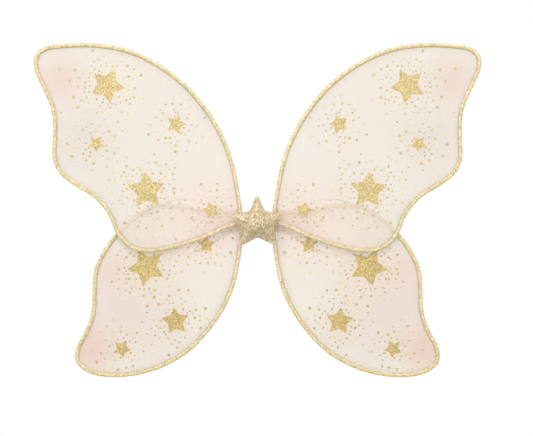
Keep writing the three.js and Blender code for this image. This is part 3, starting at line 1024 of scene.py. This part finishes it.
def inflate(points, faces):
    """The points of the pillow once pressure has filled it, by a cloth simulation."""
    mesh = bpy.data.meshes.new("pillow_trial")
    mesh.from_pydata((points * MM * SIMULATED_SCALE).tolist(), [], faces)
    trial = add_object("pillow_trial", mesh)
    cloth = trial.modifiers.new("cloth", "CLOTH")
    cloth.settings.quality = 7
    cloth.settings.mass = 0.25
    cloth.settings.tension_stiffness = 25
    cloth.settings.compression_stiffness = 25
    cloth.settings.shear_stiffness = 8
    cloth.settings.bending_stiffness = 0.4
    cloth.settings.use_pressure = True
    cloth.settings.uniform_pressure_force = INFLATE_PRESSURE
    cloth.settings.effector_weights.gravity = 0
    cloth.collision_settings.use_collision = False
    cloth.point_cache.frame_start = 1
    cloth.point_cache.frame_end = INFLATE_FRAMES
    for moment in range(1, INFLATE_FRAMES + 1):
        bpy.context.scene.frame_set(moment)
    evaluated = trial.evaluated_get(bpy.context.evaluated_depsgraph_get())
    filled = np.array([v.co for v in evaluated.data.vertices]) / (MM * SIMULATED_SCALE)
    bpy.data.objects.remove(trial)
    bpy.context.scene.frame_set(1)
    return filled


def reach_by_angle(rim):
    """Angles all the way round, and how far the rim reaches at each of them."""
    angles = np.arctan2(rim[:, 2], rim[:, 0])
    order = np.argsort(angles)
    angles = angles[order]
    reach = np.linalg.norm(rim[:, [0, 2]], axis=1)[order]
    turn = 2 * math.pi
    return np.concatenate([angles - turn, angles, angles + turn]), np.tile(reach, 3)


def fitted_star(filled, flat, rim):
    """The filled pillow brought back to the outline that it was cut to, which the
    filling draws in, and to the star's two bulges."""
    fitted = filled.copy()
    angles = np.arctan2(filled[:, 2], filled[:, 0])
    cut = np.interp(angles, *reach_by_angle(flat[rim]))
    drawn_in = np.interp(angles, *reach_by_angle(filled[rim]))
    fitted[:, [0, 2]] *= (cut / drawn_in)[:, None]
    front, back = filled[:, 1].min(), filled[:, 1].max()
    fitted[:, 1] = np.where(filled[:, 1] < 0, filled[:, 1] * STAR_FRONT_BULGE / -front,
                            filled[:, 1] * STAR_BACK_BULGE / back)
    return fitted


def cloth_piece(name, points, faces, material):
    """One star-shaped cloth with its own thickness on the inside."""
    used = sorted({i for face in faces for i in face})
    place = {old: new for new, old in enumerate(used)}
    mesh = bpy.data.meshes.new(name)
    renumbered = [tuple(place[i] for i in face) for face in faces]
    mesh.from_pydata((points[used] * MM).tolist(), [], renumbered)
    mesh.materials.append(material)
    mesh.polygons.foreach_set("use_smooth", [True] * len(mesh.polygons))
    piece = add_object(name, mesh, "hub")
    finer = piece.modifiers.new("finer", "SUBSURF")
    finer.levels = finer.render_levels = 1
    finer.boundary_smooth = "PRESERVE_CORNERS"
    thicker = piece.modifiers.new("thicker", "SOLIDIFY")
    thicker.thickness = STAR_CLOTH_THICKNESS * MM
    thicker.offset = -1
    return piece


FLAKE_R = 0.24
FLAKE_R_SPREAD = 0.22
FLAKE_SLANT = 0.15
FLAKE_LIFT = 0.1
ASKEW = (0.3, 0.5, 0.81)  # a direction that no flake's normal has


def hexagon_flakes(name, points, faces, count, rng):
    """Thin hexagonal flakes stuck on a cloth, each at its own slant."""
    corners = points[np.array(faces)]
    normals = np.cross(corners[:, 1] - corners[:, 0], corners[:, 2] - corners[:, 0])
    areas = np.linalg.norm(normals, axis=1)
    normals /= areas[:, None]
    chosen = rng.choice(len(faces), count, p=areas / areas.sum())
    parts = []
    for index in chosen:
        u, v = np.sort(rng.random(2))
        a, b, c = corners[index]
        normal = normals[index] + rng.normal(0, FLAKE_SLANT, 3)
        normal /= np.linalg.norm(normal)
        across = np.cross(normal, ASKEW)
        across /= np.linalg.norm(across)
        up = np.cross(normal, across)
        ring = circle(FLAKE_R + FLAKE_R_SPREAD * rng.random(), 6, rng.random())
        centre = u * a + (v - u) * b + (1 - v) * c + normal * FLAKE_LIFT
        flake = centre + ring[:, :1] * across + ring[:, 1:] * up
        parts.append(loft([flake - normal * FLAKE_THICKNESS, flake]))
    add_piece(name, *joined(parts), "flake", "hub", smooth=False)


WHIP_PITCH = 2.6
WHIP_REACH = 0.8  # to each side of the sewn edge
WHIP_INSET = 0.35
WHIP_THREAD_R = 0.16


def star_seam(edge):
    """Small whip stitches over the star's sewn edge."""
    outward = edge[:, [0, 2]] / np.linalg.norm(edge[:, [0, 2]], axis=1)[:, None]
    parts = []
    at = lengths_along(edge)
    for distance in np.arange(1.2, at[-1], WHIP_PITCH):
        i = min(int(np.searchsorted(at, distance)), len(edge) - 1)
        out = np.array([outward[i, 0], 0, outward[i, 1]])
        ends = (edge[i] + [0, y, 0] - out * WHIP_INSET for y in (-WHIP_REACH, WHIP_REACH))
        parts.append(stitch(*ends, out, WHIP_THREAD_R))
    add_piece("star_seam", *joined(parts), "gold_thread", "hub")


FILLING_SHARE = 0.93  # of the cloths' size
FRONT_FLAKES = 520
BACK_FLAKES = 320


def build_star():
    """The padded star: two cloths sewn at their edge round a polyester filling."""
    flat, front_faces, back_faces = pillow()
    every_face = front_faces + back_faces
    rim = chain_of(rim_of(front_faces))
    filled = inflate(flat, every_face)
    shape = fitted_star(filled, flat, rim)
    seam_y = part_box("star_front")[1].y / MM
    shape[:, 1] += seam_y
    front = cloth_piece("star_cloth_front", shape, front_faces, MATERIALS["star"])
    back = cloth_piece("star_cloth_back", shape, back_faces, MATERIALS["star"])
    centre = np.array([0, seam_y, 0])
    inner = centre + (shape - centre) * FILLING_SHARE
    filling = add_piece("star_filling", inner, every_face, "filling", "hub")
    rng = np.random.default_rng(SEED)
    flaked = ("front", front_faces, FRONT_FLAKES), ("back", back_faces, BACK_FLAKES)
    for name, faces, count in flaked:
        hexagon_flakes(f"star_flakes_{name}", shape, faces, count, rng)
    star_seam(shape[rim])
    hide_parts("star_front")
    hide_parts("star_back")
    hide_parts("star_stuffing")


# ---- Hub -------------------------------------------------------------------------


def rounded_rectangle(width, height, corner, centre_z, inset=0.0):
    """Points anticlockwise from the front, as x and z."""
    right, up = width / 2 - corner, height / 2 - corner
    points = []
    for k, (x, z) in enumerate(((right, -up), (right, up), (-right, up), (-right, -up))):
        start = (k - 1) * math.pi / 2
        arc = circle(max(corner - inset, 0.2), 8, start, start + math.pi / 2, endpoint=True)
        points.append(arc + [x, z + centre_z])
    return np.concatenate(points)


FELT_EDGE_R = 0.9
FELT_FUZZ = 0.04
FACE_RING_SHARES = (0.8, 0.55, 0.3)  # of each ring on a face, of the ring outside it


def felt_block(name, node, corner, edge_r, rng):
    """A block of felt that fills its CAD box, with soft edges and a fuzzy face."""
    low, high = box_of(node)
    width, height = high[0] - low[0], high[2] - low[2]
    centre_z = (high[2] + low[2]) / 2
    rings = []
    for turn in np.linspace(-math.pi / 2, math.pi / 2, 7):
        inset = edge_r * (1 - math.cos(turn))
        y = (low[1] + edge_r if turn < 0 else high[1] - edge_r) + edge_r * math.sin(turn)
        outline = rounded_rectangle(width, height, corner, centre_z, inset)
        rings.append(upright(outline, y))
    for face_y, at_start in ((low[1], True), (high[1], False)):
        for share in FACE_RING_SHARES:
            edge_ring = rings[0] if at_start else rings[-1]
            ring = edge_ring * [share, 0, share] + [0, face_y, centre_z * (1 - share)]
            ring[:, 1] += rng.normal(0, FELT_FUZZ, len(ring)) * (1 if at_start else -1)
            if at_start:
                rings.insert(0, ring)
            else:
                rings.append(ring)
    piece = add_piece(name, *loft(rings), "felt", "hub")
    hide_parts(node)
    return piece


PATCH_SEAM_INSET = 1.6
BAR_TACK_X = (9.6, 10.5, 11.4)
BAR_TACK_Z = (6, -6)
BAR_TACK_HEIGHT = 5.2


def patch_stitches():
    """A running stitch round the back patch and a bar tack over each strap's end."""
    low, high = box_of("back_patch")
    width, height = (high - low)[[0, 2]] - 2 * PATCH_SEAM_INSET
    outline = rounded_rectangle(width, height, 3, (high[2] + low[2]) / 2)
    outline = smooth_line(outline, 0.5, closed=True)
    parts = []
    for y, facing in ((high[1], 1), (low[1], -1)):
        lifts = [[0, facing, 0]] * len(outline)
        parts += running_stitches(upright(outline, y), lifts, 2.2, 3.4, 0.22)
    for side in (-1, 1):
        for z in BAR_TACK_Z:
            for x in BAR_TACK_X:
                start = np.array([side * x, high[1], z - BAR_TACK_HEIGHT / 2])
                parts += stitched_row(start, BAR_TACK_HEIGHT, 1, 1.1, 1.25, 0.24)
    add_piece("patch_stitches", *joined(parts), "cream_thread", "hub")


def ribbon_loop():
    """The ribbon's middle line round both roots, seen from above, as x and y."""
    r = BAND_LOOP_R - RIBBON_THICKNESS / 2
    offset = (WEB_THICKNESS - RIBBON_THICKNESS) / 2
    leave = math.pi - math.asin(offset / r)
    right = circle(r, 30, -leave, leave, endpoint=True) + [ROOT_X, 0]
    left = -circle(r, 30, -leave, leave, endpoint=True) - [ROOT_X, 0]
    return smooth_line(np.concatenate([right, left]), 0.8, closed=True)


RIBBON_SECTION_POINTS = 24
RIBBON_SEAM_X = (-15.6, -14.6, 14.6, 15.6)
RIBBON_SEAM_HEIGHT = 5.6


def ribbon_band(place):
    """The satin ribbon folded round both upright roots, with a seam beside each."""
    node = f"root_band_{place}"
    low, high = box_of(node)
    plane_y = (low[1] + high[1]) / 2
    loop = ribbon_loop()
    ahead = np.roll(loop, -1, axis=0) - np.roll(loop, 1, axis=0)
    ahead /= np.linalg.norm(ahead, axis=1)[:, None]
    aside = np.stack([ahead[:, 1], -ahead[:, 0]], axis=1)
    half_height, half = (high[2] - low[2]) / 2, RIBBON_THICKNESS / 2
    section = []
    for turn in np.linspace(0, 2 * math.pi, RIBBON_SECTION_POINTS, endpoint=False):
        up = math.copysign(abs(math.sin(turn)) ** 0.25, math.sin(turn)) * half_height
        across = math.copysign(abs(math.cos(turn)) ** 0.6, math.cos(turn)) * half
        section.append((across, up))
    rings = []
    for point, out in zip(loop, aside):
        x, y = point[0], plane_y + point[1]
        rings.append([(x + a * out[0], y + a * out[1], BAND_MIDDLE_Z + up) for a, up in section])
    piece = add_piece(f"ribbon_{place}", *loft(rings, closed=True), "ribbon", "hub")
    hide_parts(node)
    parts = []
    for x in RIBBON_SEAM_X:
        for facing in (-1, 1):
            start = np.array([x, plane_y + facing * WEB_THICKNESS / 2, BAND_BOTTOM_Z + 0.3])
            parts += stitched_row(start, RIBBON_SEAM_HEIGHT, facing, 1.0, 1.3, 0.15)
    add_piece(f"ribbon_seam_{place}", *joined(parts), "cream_thread", "hub")


# ---- Arm straps ------------------------------------------------------------------


def strap(side):
    """A loop of flat elastic, sewn into the patch's edge."""
    flat = smooth_line(STRAP_LOOP, 1.5)
    at = lengths_along(flat)
    from_end = np.minimum(at, at[-1] - at) - STRAP_SEWN
    from_end = np.clip(from_end, 0, STRAP_TWIST_LENGTH) / STRAP_TWIST_LENGTH
    twist = (1 - from_end**2 * (3 - 2 * from_end)) * math.pi / 2
    tangents = directions(flat)
    cos, sin = math.cos(STRAP_REST_ANGLE), math.sin(STRAP_REST_ANGLE)

    def in_frame(along, up, off):
        """A direction in the loop's own plane, and off it, as x, y and z."""
        return np.stack([along * cos + off * sin, along * sin - off * cos, up], axis=-1)

    zero, one = np.zeros(len(flat)), np.ones(len(flat))
    centres = in_frame(flat[:, 0], flat[:, 1], zero) + [STRAP_HINGE[0], STRAP_HINGE[1], 0]
    heading = in_frame(tangents[:, 0], tangents[:, 1], zero)
    off_plane = in_frame(zero, zero, one)
    in_plane = np.cross(heading, off_plane)
    wide = np.cos(twist)[:, None] * off_plane + np.sin(twist)[:, None] * in_plane
    thin = np.cross(heading, wide)
    across = np.linspace(-0.5, 0.5, 4 * STRAP_RIBS + 1)
    ribs = 0.5 - 0.07 * (1 - np.cos(2 * math.pi * STRAP_RIBS * (across + 0.5)))
    ribs[[0, -1]] *= 0.55
    section = [(a * STRAP_WIDTH, r * STRAP_THICKNESS) for a, r in zip(across, ribs)]
    section += [(a * STRAP_WIDTH, -r * STRAP_THICKNESS) for a, r in zip(across[::-1], ribs[::-1])]
    rings = [[c + a * w + r * t for a, r in section] for c, w, t in zip(centres, wide, thin)]
    vertices, faces = loft(rings)
    piece = add_piece(f"elastic_{side}", mirrored(vertices, side), faces, "elastic")
    girths = np.tile([a for a, _ in section], len(at))
    set_lengths(piece.data, np.repeat(at, len(section)), girths)
    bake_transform(piece)
    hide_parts(f"strap_{side}")


# ---- Studio ----------------------------------------------------------------------


FLOOR_Z = -0.62  # metres, as are all lengths below
FLOOR_R = 2.0
FLOOR_SIDES = 64


def area_light(name, place, size, power, tint):
    """A round soft light, aimed at the origin."""
    light = bpy.data.lights.new(name, "AREA")
    light.shape = "DISK"
    light.size = size
    light.energy = power
    light.color = tint
    lamp = bpy.data.objects.new(name, light)
    lamp.location = place
    lamp.rotation_euler = (-Vector(place)).to_track_quat("-Z", "Y").to_euler()
    bpy.context.scene.collection.objects.link(lamp)


def studio():
    """A white room, a soft key light from above the front and a matt floor."""
    scene = bpy.context.scene
    world = bpy.data.worlds.new("white_room")
    world.use_nodes = True
    background = world.node_tree.nodes["Background"].inputs
    background["Color"].default_value = (1, 1, 1, 1)
    background["Strength"].default_value = 1.0
    scene.world = world
    scene.view_settings.view_transform = "Standard"
    area_light("key", (-0.3, -1.9, 1.25), 3.0, 39.5, (1, 0.98, 0.95))
    area_light("rear_fill", (0.7, 1.6, 1.5), 1.0, 16, (1, 1, 1))
    mesh = bpy.data.meshes.new("floor")
    ring = [(x, y, FLOOR_Z) for x, y in circle(FLOOR_R, FLOOR_SIDES).tolist()]
    mesh.from_pydata(ring, [], [tuple(range(FLOOR_SIDES))])
    mesh.materials.append(MATERIALS["floor"])
    add_object("floor", mesh)


def camera():
    """Straight on to the star, as the object is usually shown."""
    data = bpy.data.cameras.new("camera")
    data.lens = 100
    data.sensor_width = 36
    made = bpy.data.objects.new("camera", data)
    made.location = (0.0101, -1.664, 0.005)
    made.rotation_euler = (math.pi / 2, 0, 0)
    bpy.context.scene.collection.objects.link(made)
    bpy.context.scene.camera = made


# ---- Assembly --------------------------------------------------------------------

rng = np.random.default_rng(SEED)
build_wing("upper", UPPER_PRINTS)
build_wing("lower", LOWER_PRINTS)
build_star()
felt_patch = felt_block("felt_patch", "back_patch", 4, FELT_EDGE_R, rng)
felt_pad = felt_block("felt_pad", "hub_pad", 3, FELT_EDGE_R, rng)
patch_stitches()
ribbon_band("upper")
ribbon_band("lower")
strap("left")
strap("right")
studio()
camera()
